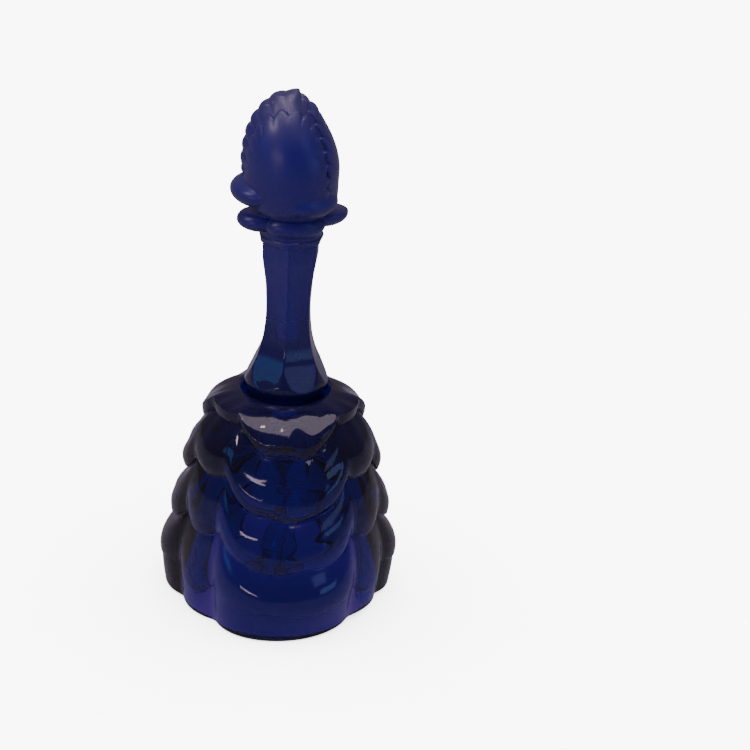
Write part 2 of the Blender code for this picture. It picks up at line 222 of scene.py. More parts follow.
def smooth_step(x):
    """Rises smoothly from 0 at 0 to 1 at 1."""
    x = np.clip(x, 0.0, 1.0)
    return x * x * (3 - 2 * x)


def wrapped(angle):
    """The same angle, between minus and plus half a turn."""
    return (angle + pi) % (2 * pi) - pi


def curve_through(points, height):
    """Radius at a height on a smooth curve through (radius, height) points."""
    known = sorted((z, r) for r, z in points)
    zs = np.array([z for z, _ in known])
    rs = np.array([r for _, r in known])
    slopes = np.gradient(rs, zs)
    k = np.clip(np.searchsorted(zs, height) - 1, 0, len(zs) - 2)
    span = zs[k + 1] - zs[k]
    t = np.clip((height - zs[k]) / span, 0.0, 1.0)
    return (rs[k] * (2 * t ** 3 - 3 * t ** 2 + 1) + rs[k + 1] * (3 * t ** 2 - 2 * t ** 3)
            + span * (slopes[k] * (t ** 3 - 2 * t ** 2 + t) + slopes[k + 1] * (t ** 3 - t ** 2)))


def lobe_radius(lobe, z):
    """How far out an ellipsoid lobe reaches at height z, at every angle; 0 where it doesn't.

    A lobe's size is its half length outwards, sideways and upwards.
    """
    out, side, up = lobe["size"]
    away = wrapped(TURN - lobe["turn"])
    c, s = np.cos(away), np.sin(away)
    a = (c / out) ** 2 + (s / side) ** 2
    b = -2 * lobe["centre"] * c / out ** 2
    k = (lobe["centre"] / out) ** 2 + ((z - lobe["height"]) / up) ** 2 - 1
    inside = b * b - 4 * a * k
    root = (-b + np.sqrt(np.maximum(inside, 0.0))) / (2 * a)
    return np.where(inside > 0, root, 0.0)


# ------------------------------------------------------------------ rows of the glass

def leaf_margin(leaf):
    """The half-oval margin of a leaf: its angle, and the distance along it up to there."""
    t = np.linspace(0.0, pi, 400)
    across = leaf["half"] * np.cos(t)
    up = (leaf["tip"] - leaf["foot"]) * np.sin(t)
    steps = np.hypot(np.diff(across), np.diff(up))
    return t, np.concatenate([[0.0], np.cumsum(steps)])


def bud_leaf(leaf, z, core):
    """How high one leaf stands off the bud's core at height z, at every angle."""
    across = wrapped(TURN - leaf["turn"]) * core / leaf["half"]
    tall = leaf["tip"] - leaf["foot"]
    up = max(0.0, (z - leaf["foot"]) / tall)
    inside = 1 - across ** 2 - up ** 2
    steepness = 2 * np.sqrt((across / leaf["half"]) ** 2 + (up / tall) ** 2 + 1e-6)
    where = np.interp(np.arctan2(up, across), *leaf_margin(leaf))
    scallop = np.abs(np.sin(pi * where / SCALLOP_PITCH))
    depth = inside / steepness + SCALLOP_DEPTH * (scallop - 0.5)
    edge = np.clip(depth / LEAF_EDGE, 0.0, 1.0)
    dome = np.sqrt(1 - (1 - edge) ** 2)
    vein = VEIN_DEPTH * (1 - scallop) ** 2 * np.exp(-((depth - LEAF_EDGE) / VEIN_REACH) ** 2)
    return dome * (leaf["lift"] - vein)


def frill(along, core):
    """Beads on a ridge up the bud's left side and over its tip.

    Gives how high they stand at a distance from the tip, and how much of them there is.
    """
    away = TURN - FRILL["turn"]
    beside = core * np.sin(away)
    signed = along * np.cos(away)
    rounding = np.abs(np.cos(pi * signed / FRILL["pitch"])) ** 0.8
    beads = BETWEEN_BEADS + (1 - BETWEEN_BEADS) * rounding
    ridge = np.exp(-(beside / FRILL["width"]) ** 2)
    left_end = smooth_step((FRILL["left"] - signed) / LEFT_FADE)
    right_end = smooth_step((signed + FRILL["right"]) / RIGHT_FADE)
    return FRILL["depth"] * beads, ridge * (left_end * right_end)


def bud_shift(z):
    """The bud leans: the change of radius that moves a row to the left."""
    low = BUD_LEAN[0] * smooth_step((z - BUD_FOOT) / 12.0)
    high = BUD_LEAN[1] * smooth_step((z - BUD_MIDDLE) / 20.0)
    return -(low + high) * np.sin(TURN)


def bud_profile():
    """The bud's core from its tip down.

    Each row: radius, height, the surface's way out and way up, distance from the tip.
    """
    angles = np.linspace(radians(0.6), pi / 2, BUD_ROWS[0])
    tall = BUD_TIP - FRILL["depth"] - BUD_MIDDLE
    upper_radius = BUD_RADIUS * np.sin(angles) ** BUD_POINT
    upper_height = BUD_MIDDLE + tall * np.cos(angles)
    lower_height = np.linspace(BUD_MIDDLE, BUD_FOOT, BUD_ROWS[1])[1:]
    down = (BUD_MIDDLE - lower_height) / (BUD_MIDDLE - BUD_FOOT + 0.8)
    lower_radius = BUD_RADIUS * (BUD_WAIST + (1 - BUD_WAIST) * np.sqrt(1 - down ** 2))
    radius = np.concatenate([upper_radius, lower_radius])
    height = np.concatenate([upper_height, lower_height])
    out = np.concatenate([np.sin(angles), np.ones(len(lower_height))])
    up = np.concatenate([np.cos(angles), np.zeros(len(lower_height))])
    steps = np.hypot(np.diff(radius), np.diff(height))
    along = radius[0] + np.concatenate([[0.0], np.cumsum(steps)])
    return zip(radius, height, out, up, along)


def bud_rows():
    """The bud: leaves and a ridge of beads on its core, and sepals round its foot."""
    rows = []
    for core, z, out, up, along in bud_profile():
        from_tip = smooth_step(core / TIP_FADE)
        leaves = np.zeros(AROUND)
        for leaf in LEAVES:
            leaves = soft_max(leaves, bud_leaf(leaf, z, core), 0.05)
        beads, share = frill(along, core)
        lift = beads * share + leaves * from_tip * (1 - share)
        lift = blur(lift, radians(0.5)) * smooth_step((z - BUD_FOOT) / 3.0)
        radius = core + lift * out
        for sepal in SEPALS:
            radius = soft_max(radius, lobe_radius(sepal, z), LOBE_BLEND)
        rows.append((radius + bud_shift(z) * from_tip, z + lift * up))
    return rows


def flange_rows():
    """The flange's knobs and rolls round the neck under the bud."""
    rows = []
    top = BUD_RADIUS * NECK_TOP_SHARE
    for z in np.linspace(BUD_FOOT - 0.1, FLANGE_FOOT, FLANGE_ROWS):
        neck = top + (NECK_RADIUS - top) * smooth_step((BUD_FOOT - z) / NECK_FALL)
        radius = np.full(AROUND, neck)
        for lobe in FLANGE:
            radius = soft_max(radius, lobe_radius(lobe, z), LOBE_BLEND)
        rows.append((blur(radius, radians(0.8)), np.full(AROUND, z)))
    return rows


def handle_rows():
    """The handle: six facets cut into a turned envelope, and the collar below them."""
    rows = []
    sixth = pi / 3
    from_middle = (TURN - HANDLE_TURN) % sixth - sixth / 2
    facet_low, facet_high = FACETS[-1][1], FACETS[0][1]
    for z in np.linspace(FLANGE_FOOT - 0.1, COLLAR_FOOT[1] + 0.1, HANDLE_ROWS):
        radius = np.full(AROUND, curve_through(ENVELOPE, z))
        if facet_low <= z <= facet_high:
            facet = curve_through(FACETS, z) / np.cos(from_middle)
            radius = soft_min(radius, facet, ARRIS_ROUND)
        rows.append((blur(radius, ARRIS_BLUR), np.full(AROUND, z)))
    return rows


def column_place(half):
    """For every angle: where it is in its column, -1 to 1, and whether the column is wide."""
    offset = (TURN + half) % SECTOR - half
    wide = offset <= half
    narrow_half = SECTOR / 2 - half
    place = np.where(wide, offset / half, (offset - half - narrow_half) / narrow_half)
    return place, wide


def tier_edge(tier, place, wide):
    """Height of a tier's lower edge: a ruffled tip in each column, rising to the creases."""
    high, low = tier["wide"][0], tier["narrow"][0]
    meeting = max(high, low) + tier["rise"]
    tip = np.where(wide, high, low)
    height, waves, start = tier["ruffle"]
    share = np.where(wide, 1.0, NARROW_RUFFLE)
    ripple = height * np.cos(waves * pi * place + start) * (1 - place ** 2) * share
    return blur(tip + (meeting - tip) * np.abs(place) ** 3 + ripple, EDGE_BLUR)


def column_radius(wide_radius, narrow_radius, crease, place, wide):
    """Lobed radius: fullest in the middle of each column, drawn in at the creases."""
    lobe = np.where(wide, wide_radius - crease[0] * np.abs(place) ** 3,
                    narrow_radius - crease[1] * place ** 2)
    return blur(lobe, CREASE_BLUR)


def swell(t, crest):
    """How much of its full radius a tier has gained, t of the way down to its edge."""
    return sin(pi / 2 * min(1.0, t / crest)) ** SWELL_POWER


def valley(tier, t, place, wide):
    """How far a wide flounce draws in above its flared edge."""
    depth, middle, width = tier["valley"]
    return depth * np.exp(-((t - middle) / width) ** 2) * np.where(wide, 1 - place ** 2, 0.0)


def shoulder_row(t, foot, full, draw):
    """The top tier slopes down from the collar, then turns over into a short upright fall."""
    bend = pi / 2 * min(1.0, t / SHOULDER_TURN)
    brow = foot + SHOULDER_FALL
    radius = COLLAR_FOOT[0] + (full - COLLAR_FOOT[0]) * sin(bend) ** SHOULDER_SLOPE - draw
    groove = (SHOULDER_CROWN - COLLAR_FOOT[1]) * (1 - smooth_step(t / SHOULDER_GROOVE)) ** 2
    height = brow + (SHOULDER_CROWN - brow) * max(0.0, cos(bend)) ** SHOULDER_SLOPE - groove
    fall = max(0.0, t - SHOULDER_TURN) / (1 - SHOULDER_TURN)
    return radius, height - SHOULDER_FALL * fall


def skirt_rows():
    """The tiers, each from under the edge above it down round its own lip."""
    rows = []
    upper_edge, upper_radius = None, None
    for tier in TIERS:
        place, wide = column_place(tier["half"])
        edge = tier_edge(tier, place, wide)
        full = column_radius(tier["wide"][1], tier["narrow"][1], tier["crease"], place, wide)
        foot = edge + LIP_ROUND
        for t in np.linspace(0.0, 1.0, TIER_ROWS):
            draw = tier["draw"] * (max(0.0, t - tier["crest"]) / (1 - tier["crest"])) ** 2
            if tier is TIERS[0]:
                rows.append(shoulder_row(t, foot, full, draw))
            elif t > 0:
                radius = upper_radius + (full - upper_radius) * swell(t, tier["crest"])
                drawn_in = draw + valley(tier, t, place, wide) if "valley" in tier else draw
                rows.append((radius - drawn_in, upper_edge + (foot - upper_edge) * t))
        outer = rows[-1][0]
        for bend in np.linspace(0.0, pi / 2, 6)[1:]:
            rows.append((outer - LIP_ROUND * (1 - cos(bend)), foot - LIP_ROUND * sin(bend)))
        upper_radius = outer - tier["lip"]
        upper_edge = edge - UNDER_LIP
        rows.append((upper_radius + 0.15, edge + 0.02))
    return rows + rim_rows(upper_edge, upper_radius)


def rim_rows(upper_edge, upper_radius):
    """From the last tier's lip down to the rim, round it and across to the mouth."""
    rows = []
    place, wide = column_place(TIERS[-1]["half"])
    crease = TIERS[-1]["crease"]
    rim = column_radius(RIM_RADII[0], RIM_RADII[1], crease, place, wide)
    for t in np.linspace(0.0, 1.0, 20):
        radius = upper_radius + (rim - upper_radius) * t ** 1.5
        rows.append((radius, upper_edge + (RIM_ROUND - upper_edge) * t))
    outer = rows[-1][0]
    for bend in np.linspace(0.0, pi / 2, 7)[1:]:
        height = RIM_ROUND * (1 - sin(bend))
        rows.append((outer - RIM_ROUND * (1 - cos(bend)), np.full(AROUND, height)))
    outer = rows[-1][0]
    inner = CAVITY[0][0] + MOUTH_FLARE[0]
    for t in np.linspace(0.0, 1.0, 8)[1:]:
        rows.append((outer + (inner - outer) * t, np.zeros(AROUND)))
    return rows


def near(spot):
    """1 at a spot's angle, falling to 0 away from it."""
    return np.exp(-(wrapped(TURN - spot["turn"]) / spot["half"]) ** 2)


def hand_finished(rows):
    """The rows with the rim's thin and short places."""
    moved = []
    for radius, height in rows:
        low = smooth_step(1 - height / UNEVEN_BELOW)
        wall = np.maximum(radius - CAVITY[0][0], 0.0)
        thinner = radius - wall * THIN_RIM["share"] * near(THIN_RIM) * low
        moved.append((thinner, height + SHORT_RIM["lift"] * near(SHORT_RIM) * low))
    return moved


def cavity_rows():
    """The inside, from the mouth up into the plug's socket."""
    rows = []
    flare, flare_height = MOUTH_FLARE
    for z in np.concatenate([[0.25, 0.8], np.linspace(2.0, DOME_FOOT, 60)]):
        radius = curve_through(CAVITY, z) + flare * max(0.0, 1 - z / flare_height) ** 2
        rows.append((np.full(AROUND, radius), np.full(AROUND, z)))
    inner = SOCKET_RADIUS + 0.4
    dome = curve_through(CAVITY, DOME_FOOT) - inner
    for bend in np.linspace(0.0, pi / 2, 22)[1:]:
        height = DOME_FOOT + DOME_HEIGHT * sin(bend)
        rows.append((np.full(AROUND, inner + dome * cos(bend)), np.full(AROUND, height)))
    return rows + turned_rows(SOCKET)


def drift(rows):
    """Hand-pressed glass is never quite true: long, shallow waves a few hundredths deep."""
    generator = np.random.default_rng(7)
    waves = []
    for _ in range(12):
        count = generator.integers(1, 6)
        twist = generator.uniform(0.02, 0.09)
        start = generator.uniform(0, 2 * pi)
        depth = generator.uniform(0.02, 0.05)
        waves.append((count, twist, start, depth))
    moved = []
    for radius, height in rows:
        shift = sum(depth * np.sin(count * TURN + twist * height * 2 + start)
                    for count, twist, start, depth in waves)
        moved.append((radius + shift * np.clip(radius / 30.0, 0.0, 1.0), height))
    return moved


# ------------------------------------------------------------------ meshes

def link_to_scene(obj):
    """Puts a new object in the scene."""
    bpy.context.scene.collection.objects.link(obj)
    return obj


def mesh_object(name, points, faces):
    """A smooth mesh from points in millimetres round the bell's own axis."""
    placed = (np.asarray(points) + (0.0, AXIS_BACK, 0.0)) * MM
    mesh = bpy.data.meshes.new(name)
    mesh.from_pydata(placed.tolist(), [], faces)
    mesh.update()
    mesh.shade_smooth()
    return link_to_scene(bpy.data.objects.new(name, mesh))


def strips(rows, around, closed):
    """Quads between rings of points; closed joins the last ring to the first."""
    first = np.arange(around)
    second = (first + 1) % around
    faces = []
    for row in range(rows if closed else rows - 1):
        upper, lower = row * around, (row + 1) % rows * around
        corners = [upper + first, lower + first, lower + second, upper + second]
        faces.append(np.stack(corners, axis=1))
    return np.concatenate(faces).tolist()


def cap(faces, centre, start, around, turned_over):
    """Triangles from a centre point to a ring of points that starts at an index."""
    for i in range(around):
        edge = [start + i, start + (i + 1) % around]
        faces.append([centre] + (edge[::-1] if turned_over else edge))


def object_from_rows(name, rows, closed=False):
    """A surface through rows (radius, height) round the axis; closed rows make a ring."""
    radius = np.array([r for r, _ in rows])
    height = np.array([z for _, z in rows])
    points = np.stack([radius * np.sin(TURN), -radius * np.cos(TURN), height], axis=-1)
    points = points.reshape(-1, 3)
    faces = strips(len(rows), AROUND, closed)
    if not closed:
        ends = [points[:AROUND].mean(axis=0), points[-AROUND:].mean(axis=0)]
        cap(faces, len(points), 0, AROUND, False)
        cap(faces, len(points) + 1, (len(rows) - 1) * AROUND, AROUND, True)
        points = np.concatenate([points, ends])
    return mesh_object(name, points, faces)


def turned_rows(profile):
    """Rows for a plain turned shape; the profile is (radius, height)."""
    return [(np.full(AROUND, r), np.full(AROUND, z)) for r, z in profile]


def make_glass():
    """The pressed glass casting, one closed surface."""
    outside = drift(bud_rows() + flange_rows() + handle_rows() + skirt_rows())
    floor = [(r, np.maximum(z, 0.0)) for r, z in outside]
    return object_from_rows("glass_casting", hand_finished(floor + cavity_rows()))


# ------------------------------------------------------------------ the clapper's pieces

def arc(height, radius, start, end, steps):
    """Points (across, up) on an arc centred on the axis at a height."""
    angles = np.linspace(start, end, steps)
    return np.stack([radius * np.cos(angles), height + radius * np.sin(angles)], axis=1)


def wire_tube(path, radius, closed, across):
    """A round wire along a path (across, up) in the plane of the axis and `across`."""
    plane = np.stack([np.array(across), np.array((0.0, 0.0, 1.0))])
    middle = path @ plane
    if closed:
        tangent = np.roll(middle, -1, axis=0) - np.roll(middle, 1, axis=0)
    else:
        tangent = np.gradient(middle, axis=0)
    tangent /= np.linalg.norm(tangent, axis=1, keepdims=True)
    normal = np.cross(plane[0], plane[1])
    side = np.cross(tangent, normal)
    angles = np.arange(WIRE_SIDES) * 2 * pi / WIRE_SIDES
    round_it = (np.cos(angles)[None, :, None] * side[:, None]
                + np.sin(angles)[None, :, None] * normal)
    points = (middle[:, None] + radius[:, None, None] * round_it).reshape(-1, 3)
    faces = strips(len(path), WIRE_SIDES, closed)
    if not closed:
        cap(faces, len(points), 0, WIRE_SIDES, False)
        cap(faces, len(points) + 1, (len(path) - 1) * WIRE_SIDES, WIRE_SIDES, True)
        points = np.concatenate([points, middle[:1], middle[-1:]])
    return points, faces


def rounded_end(path, radius):
    """The wire's radius along an open path, rounded over at the free end of a ring."""
    steps = np.linalg.norm(np.diff(path, axis=0), axis=1)
    along = np.concatenate([[0.0], np.cumsum(steps)])
    left = np.clip((along[-1] - along) / (0.5 * radius), 0.0, 1.0)
    return radius * np.sqrt(np.maximum(1 - (1 - left) ** 2, 0.04))


def softened(path, rounds=3):
    """Cuts the corners off an open path, as a bent wire has none."""
    for _ in range(rounds):
        near = path[:-1] * 0.75 + path[1:] * 0.25
        far = path[:-1] * 0.25 + path[1:] * 0.75
        middle = np.stack([near, far], axis=1).reshape(-1, 2)
        path = np.concatenate([path[:1], middle[1:-1], path[-1:]])
    return path


def make_eye():
    """A straight shank in the plug with an open ring at its foot."""
    ring = arc(FIRST_PIVOT + BEND, BEND, pi / 2, pi / 2 - 2 * pi + RING_GAP, 60)
    heights = np.linspace(EYE_TOP, FIRST_PIVOT + 2 * BEND + SHANK_BEND, 12)
    shank = np.stack([np.zeros(12), heights], axis=1)
    path = softened(np.concatenate([shank, ring]))
    points, faces = wire_tube(path, rounded_end(path, WIRE), False, (1.0, 0.0, 0.0))
    return mesh_object("hanger_eye_wire", points, faces)


def make_link(number):
    """One link: a bent wire loop whose ends meet in a fine seam halfway along one side."""
    pivot = FIRST_PIVOT - (number - 1) * PITCH
    foot = pivot - PITCH
    straight = np.linspace(foot + BEND, foot + BEND + LINK_STRAIGHT, 26)[1:-1]
    up = np.stack([np.full(24, BEND), straight], axis=1)
    down = np.stack([np.full(24, -BEND), straight[::-1]], axis=1)
    upper = arc(foot + BEND + LINK_STRAIGHT, BEND, 0.0, pi, 28)
    lower = arc(foot + BEND, BEND, pi, 2 * pi, 28)
    path = np.concatenate([up, upper, down, lower])
    from_seam = np.where(path[:, 0] > BEND - 0.001, np.abs(path[:, 1] - straight[12]), BEND)
    radius = WIRE * (1 - SEAM_DEPTH * np.exp(-(from_seam / SEAM_WIDTH) ** 2))
    across = (0.0, 1.0, 0.0) if number % 2 else (1.0, 0.0, 0.0)
    points, faces = wire_tube(path, radius, True, across)
    return mesh_object("link_wire_%d" % number, points, faces)


def make_pin():
    """The eye pin: an open ring on the last link, a shank through the bead, a flat stop."""
    pivot = FIRST_PIVOT - LINKS * PITCH
    ring = arc(pivot + 2 * WIRE + WIRE_GAP - BEND, BEND, -pi / 2, 3 * pi / 2 - RING_GAP, 60)
    shank_top = ring[0, 1] - SHANK_BEND
    shank = np.stack([np.zeros(40), np.linspace(STOP_TOP - 0.4, shank_top, 40)], axis=1)
    path = softened(np.concatenate([shank, ring]))
    points, faces = wire_tube(path, rounded_end(path, WIRE), False, (0.0, 1.0, 0.0))
    wire = mesh_object("clapper_pin_wire", points, faces)
    profile = [(radius, STOP_TOP - below) for radius, below in STOP]
    stop = object_from_rows("clapper_pin_stop", turned_rows(profile))
    return wire, stop


def make_bead():
    """A pressed bead: a ball with a bore whose mouths are dimpled."""
    mouth = BEAD_BORE + BORE_DIMPLE
    start = np.arcsin(mouth / BEAD_RADIUS)
    profile = [(BEAD_RADIUS * sin(a), BEAD_CENTRE + BEAD_RADIUS * cos(a))
               for a in np.linspace(start, pi - start, 90)]
    lip = BEAD_RADIUS * cos(start)
    for t in np.linspace(0.0, pi / 2, 8)[1:]:
        height = BEAD_CENTRE - lip + BORE_DIMPLE * (1 - cos(t))
        profile.append((mouth - BORE_DIMPLE * sin(t), height))
    for z in np.linspace(BEAD_CENTRE - lip + 0.7, BEAD_CENTRE + lip - 0.7, 20):
        profile.append((BEAD_BORE, z))
    for t in np.linspace(pi / 2, 0.0, 8)[:-1]:
        height = BEAD_CENTRE + lip - BORE_DIMPLE * (1 - cos(t))
        profile.append((mouth - BORE_DIMPLE * sin(t), height))
    return object_from_rows("clapper_bead_glass", turned_rows(profile), closed=True)


def make_plug():
    """The plaster plug: rough and slightly dished below, with the shank's hole."""
    rows = turned_rows(((0.3, PLUG_TOP), (3.3, PLUG_TOP), (3.75, PLUG_TOP - 0.15),
                        (PLUG_RADIUS, PLUG_TOP - 0.5)))
    for z in np.linspace(PLUG_TOP - 1.0, PLUG_FOOT + 0.7, 14):
        rows += turned_rows(((PLUG_RADIUS, z),))
    generator = np.random.default_rng(3)
    for r in np.linspace(3.85, SHANK_HOLE + 0.05, 16):
        lumps = blur(generator.normal(0.0, PLUG_LUMPS, AROUND), radians(9))
        dish = 0.35 + 0.3 * cos(pi * r / PLUG_RADIUS) + 0.35 * (r / PLUG_RADIUS) ** 8
        share = sin(pi * (r - SHANK_HOLE) / (PLUG_RADIUS - SHANK_HOLE))
        rows.append((np.full(AROUND, r), PLUG_FOOT + dish + lumps * share))
    for z in (PLUG_FOOT + 0.9, PLUG_FOOT + 2.0, EYE_TOP, EYE_TOP + 0.25):
        rows += turned_rows(((SHANK_HOLE, z),))
    return object_from_rows("crown_plug_plaster", rows)


# ------------------------------------------------------------------ materials

GLASS_IOR = 1.52
COBALT = (0.40, 0.03, 0.85, 1.0)
COBALT_DENSITY = 640.0           # absorption per metre
BEAD_DENSITY = 110.0
FROSTED_BLUE = (0.018, 0.008, 0.40, 1.0)
# painted rim light: the frosted colour is painted this paler colour at glancing angles and towards
# the bud's tip
PAINTED_RIM_LIGHT = (0.17, 0.16, 0.36, 1.0)      # at glancing angles and at the bud's tip
FROSTED_SHARE = 0.45             # how much of the surface is frosted at most
HANDLE_DULL = 0.34               # roughness added on the handle and the bud
# Heights in metres between which each of these grows to its full strength.
FROSTING = (0.060, 0.122)
NO_FROSTING = (1.0, 2.0)         # far above the bell
HANDLE_DULLING = (0.084, 0.112)
# the painted rim light spreads over the bud's tip between these heights
TIP_PAINTED_LIGHT = (0.163, 0.180)


def node_material(name):
    """A new material, its nodes and its links."""
    material = bpy.data.materials.new(name)
    material.use_nodes = True
    return material, material.node_tree.nodes, material.node_tree.links


def noise(nodes, links, place, scale, detail):
    """A noise whose grain is 1 / scale metres, in the object's own coordinates."""
    texture = nodes.new("ShaderNodeTexNoise")
    texture.inputs["Scale"].default_value = scale
    texture.inputs["Detail"].default_value = detail
    links.new(place.outputs["Object"], texture.inputs["Vector"])
    return texture


def map_range(nodes, links, value, source, target):
    """The value carried from one range to another, and held at its ends."""
    step = nodes.new("ShaderNodeMapRange")
    step.inputs["From Min"].default_value, step.inputs["From Max"].default_value = source
    step.inputs["To Min"].default_value, step.inputs["To Max"].default_value = target
    links.new(value, step.inputs["Value"])
    return step.outputs["Result"]


def bump(nodes, links, height, strength, distance):
    """A normal tilted by a height, whose full step is a distance in metres."""
    step = nodes.new("ShaderNodeBump")
    step.inputs["Strength"].default_value = strength
    step.inputs["Distance"].default_value = distance
    links.new(height, step.inputs["Height"])
    return step.outputs["Normal"]


def cobalt_material(name, frosting, density):
    """Cobalt glass; between two heights its surface goes from clear to partly frosted."""
    material, nodes, links = node_material(name)
    clear = nodes["Principled BSDF"]
    output = nodes["Material Output"]
    clear.inputs["Base Color"].default_value = (0.93, 0.93, 1.0, 1.0)
    clear.inputs["Transmission Weight"].default_value = 1.0
    clear.inputs["IOR"].default_value = GLASS_IOR
    place = nodes.new("ShaderNodeTexCoord")
    waves = noise(nodes, links, place, 90.0, 2.0)
    links.new(bump(nodes, links, waves.outputs["Fac"], 0.10, 0.0008), clear.inputs["Normal"])
    haze = noise(nodes, links, place, 35.0, 4.0)
    parts = nodes.new("ShaderNodeSeparateXYZ")
    links.new(place.outputs["Object"], parts.inputs["Vector"])
    dull = nodes.new("ShaderNodeMath")
    dull.operation = "ADD"
    smears = map_range(nodes, links, haze.outputs["Fac"], (0.35, 0.75), (0.02, 0.07))
    handle = map_range(nodes, links, parts.outputs["Z"], HANDLE_DULLING, (0.0, HANDLE_DULL))
    links.new(smears, dull.inputs[0])
    links.new(handle, dull.inputs[1])
    links.new(dull.outputs["Value"], clear.inputs["Roughness"])

    frosted = nodes.new("ShaderNodeBsdfPrincipled")
    # Painted rim light: the frosted colour turns paler at glancing angles and towards the bud's
    # tip, as if lit from behind
    facing = nodes.new("ShaderNodeLayerWeight")
    facing.inputs["Blend"].default_value = 0.35
    painted_light = nodes.new("ShaderNodeMath")
    painted_light.operation = "MAXIMUM"
    links.new(facing.outputs["Facing"], painted_light.inputs[0])
    tip = map_range(nodes, links, parts.outputs["Z"], TIP_PAINTED_LIGHT, (0.0, 0.85))
    links.new(tip, painted_light.inputs[1])
    tint = nodes.new("ShaderNodeMix")
    tint.data_type = "RGBA"
    tint.inputs["A"].default_value = FROSTED_BLUE
    tint.inputs["B"].default_value = PAINTED_RIM_LIGHT
    links.new(painted_light.outputs["Value"], tint.inputs["Factor"])
    links.new(tint.outputs["Result"], frosted.inputs["Base Color"])
    frosted.inputs["Roughness"].default_value = 0.28
    frosted.inputs["IOR"].default_value = GLASS_IOR
    grain = noise(nodes, links, place, 900.0, 3.0)
    links.new(bump(nodes, links, grain.outputs["Fac"], 0.12, 0.0001), frosted.inputs["Normal"])
    amount = map_range(nodes, links, parts.outputs["Z"], frosting, (0.0, FROSTED_SHARE))
    mix = nodes.new("ShaderNodeMixShader")
    links.new(amount, mix.inputs["Fac"])
    links.new(clear.outputs["BSDF"], mix.inputs[1])
    links.new(frosted.outputs["BSDF"], mix.inputs[2])
    links.new(mix.outputs["Shader"], output.inputs["Surface"])

    absorb = nodes.new("ShaderNodeVolumeAbsorption")
    absorb.inputs["Color"].default_value = COBALT
    absorb.inputs["Density"].default_value = density
    links.new(absorb.outputs["Volume"], output.inputs["Volume"])
    return material


def plated_material(name):
    """Bright plated wire, a little dulled and finely scratched."""
    material, nodes, links = node_material(name)
    shader = nodes["Principled BSDF"]
    shader.inputs["Metallic"].default_value = 1.0
    place = nodes.new("ShaderNodeTexCoord")
    tarnish = noise(nodes, links, place, 420.0, 4.0)
    colour = nodes.new("ShaderNodeMix")
    colour.data_type = "RGBA"
    colour.inputs["A"].default_value = (0.76, 0.74, 0.70, 1.0)
    colour.inputs["B"].default_value = (0.50, 0.46, 0.40, 1.0)
    spots = map_range(nodes, links, tarnish.outputs["Fac"], (0.45, 0.75), (0.0, 1.0))
    links.new(spots, colour.inputs["Factor"])
    links.new(colour.outputs["Result"], shader.inputs["Base Color"])
    dulled = map_range(nodes, links, tarnish.outputs["Fac"], (0.3, 0.8), (0.18, 0.42))
    links.new(dulled, shader.inputs["Roughness"])
    scratches = noise(nodes, links, place, 3000.0, 2.0)
    links.new(bump(nodes, links, scratches.outputs["Fac"], 0.2, 0.00005), shader.inputs["Normal"])
    return material


def plaster_material(name):
    """Matt plaster, stained in patches and pitted."""
    material, nodes, links = node_material(name)
    shader = nodes["Principled BSDF"]
    shader.inputs["Roughness"].default_value = 0.9
    place = nodes.new("ShaderNodeTexCoord")
    stain = noise(nodes, links, place, 260.0, 5.0)
    colour = nodes.new("ShaderNodeMix")
    colour.data_type = "RGBA"
    colour.inputs["A"].default_value = (0.80, 0.77, 0.70, 1.0)
    colour.inputs["B"].default_value = (0.60, 0.56, 0.48, 1.0)
    patches = map_range(nodes, links, stain.outputs["Fac"], (0.4, 0.75), (0.0, 1.0))
    links.new(patches, colour.inputs["Factor"])
    links.new(colour.outputs["Result"], shader.inputs["Base Color"])
    pits = noise(nodes, links, place, 1800.0, 3.0)
    links.new(bump(nodes, links, pits.outputs["Fac"], 0.6, 0.0002), shader.inputs["Normal"])
    return material


# ------------------------------------------------------------------ stage, light and camera

WHITE = 9.0                      # what the camera sees as overexposed white
CONTACT_SHADE = 1.5              # how bright the floor looks where the rim touches it
LAMP_AIM = (0.0, 0.0, 0.08)      # what the lamps point at, in metres

CAMERA_AIM = 0.085               # metres up the bell's axis
CAMERA_DISTANCE = 1.0            # metres from there
CAMERA_TURN = radians(-4)
CAMERA_TILT = radians(23.5)
CAMERA_ROLL = radians(2.2)
SENSOR_WIDTH = 36.0              # mm
LENS = 144.5                     # mm
CAMERA_SHIFT = (0.1180, -0.0195)

# Each lamp: name, location, size in metres, radiance and colour.
LAMPS = (
    ("ceiling", (-0.05, -0.15, 1.10), (0.95, 0.80), 2.6, (1.0, 0.82, 0.90)),
    ("ceiling_lamp", (-0.15, -0.26, 1.00), (0.10, 0.08), 16.0, (1.0, 0.88, 0.78)),
    ("lamp", (-0.78, -0.40, 0.80), (0.34, 0.16), 13.0, (1.0, 0.86, 0.76)),
    ("low_lamp", (-0.62, -0.84, 0.21), (0.42, 0.07), 7.0, (1.0, 0.80, 0.76)),
    ("window", (0.75, -0.75, 0.62), (0.36, 0.36), 1.1, (0.34, 0.42, 1.0)),
    ("window_left", (-0.95, -0.34, 0.34), (0.30, 0.20), 1.3, (0.10, 0.40, 1.0)),
    ("window_low", (0.95, -0.66, 0.20), (0.46, 0.20), 1.6, (0.26, 0.46, 1.0)),
)


def choose_shader(nodes, links, chosen, usual, other):
    """The usual shader, or the other where chosen is 1."""
    mix = nodes.new("ShaderNodeMixShader")
    links.new(chosen, mix.inputs["Fac"])
    links.new(usual, mix.inputs[1])
    links.new(other, mix.inputs[2])
    return mix.outputs["Shader"]


def seen_by_camera(nodes, links, hidden, shown):
    """What the camera sees directly, and what reflections and light through the glass see."""
    path = nodes.new("ShaderNodeLightPath")
    return choose_shader(nodes, links, path.outputs["Is Camera Ray"], hidden, shown)


